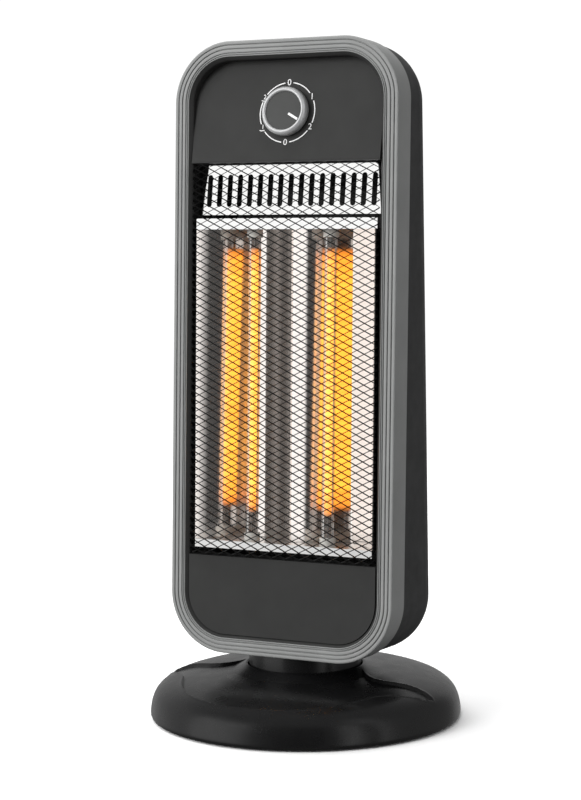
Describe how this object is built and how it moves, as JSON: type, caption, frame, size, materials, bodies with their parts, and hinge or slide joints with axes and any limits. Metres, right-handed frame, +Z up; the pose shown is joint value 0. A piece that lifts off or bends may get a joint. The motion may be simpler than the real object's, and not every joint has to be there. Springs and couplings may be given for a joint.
{
  "type": "radiant heater",
  "caption": "Upright radiant heater: rounded tower with ribbed bezel, dial, polished reflector and vertical glowing tubes behind a mesh guard, on a swivelling neck and round base.",
  "frame": {"origin": "on the floor under the middle of the round base", "axes": "+Z up, front towards -Y, +X to the viewer's right"},
  "size_m": [0.2612, 0.2612, 0.5615],
  "materials": {
    "grey_plastic": "satin grey, moulded ribs",
    "black_plastic": "fine satin black",
    "panel_black": "satin black, finely grained",
    "base_black": "smooth black",
    "guard_black": "black enamel",
    "bright_metal": "polished, mirror bright",
    "quartz": "slightly milky quartz",
    "element": "glowing orange",
    "ceramic": "white ceramic",
    "steel": "zinc plated",
    "gear_plastic": "natural white",
    "rubber": "matt black",
    "knob_black": "smooth black",
    "knob_chrome": "bright plated",
    "knob_mark": "white line"
  },
  "bodies": {
    "base": {"base_cover": "base_black", "base_plate": "black_plastic", "base_screws": "steel", "rubber_feet": "rubber", "swivel_bush": "gear_plastic", "osc_motor": "steel", "motor_screws": "steel", "tip_switch": "black_plastic", "tip_spring": "steel", "terminal_block": "gear_plastic", "cord_gland": "rubber"},
    "tower": {"front_bezel": "grey_plastic", "rear_cover": "black_plastic", "rear_screws": "steel", "front_panel": "panel_black", "wire_guard": "guard_black", "vent_plate": "bright_metal", "reflector": "bright_metal", "reflector_top": "bright_metal", "reflector_bottom": "bright_metal", "quartz_tube_left": "quartz", "quartz_tube_right": "quartz", "filament_left": "element", "filament_right": "element", "tube_caps": "ceramic", "tube_clips": "steel", "heat_shield": "steel", "thermal_cutout": "steel", "shield_screws": "steel", "rotary_switch": "black_plastic", "switch_nut": "steel", "neck_skirt": "base_black", "swivel_spindle": "steel", "retaining_ring": "steel", "sector_gear": "gear_plastic", "bottom_bracket": "steel", "neck_screws": "steel"},
    "knob": {"knob_body": "knob_black", "knob_ring": "knob_chrome", "knob_face": "knob_black", "knob_pointer": "knob_mark", "switch_shaft": "steel"},
    "pinion": {"motor_pinion": "gear_plastic"},
    "plunger": {"tip_plunger": "gear_plastic"}
  },
  "joints": [
    {"name": "tower_swing", "type": "hinge", "parent": "base", "child": "tower", "pos_m": [0, 0, 0.03], "axis": [0, 0, 1], "range_deg": [-35, 35]},
    {"name": "knob_turn", "type": "hinge", "parent": "tower", "child": "knob", "pos_m": [0, -0.02303, 0.50198], "axis": [0, -0.9824, 0.1866], "continuous": true},
    {"name": "pinion_spin", "type": "hinge", "parent": "base", "child": "pinion", "pos_m": [0, 0.045, 0.028], "axis": [0, 0, 1], "range_deg": [-180, 180]},
    {"name": "tip_plunge", "type": "slide", "parent": "base", "child": "plunger", "axis": [0, 0, -1], "range_m": [0, 0.006], "stiffness_N_per_m": 100, "springref_m": 0.01, "deforming": ["tip_spring"]}
  ],
  "couplings": [
    {"joint": "pinion_spin", "follows": "tower_swing", "ratio": -5}
  ]
}
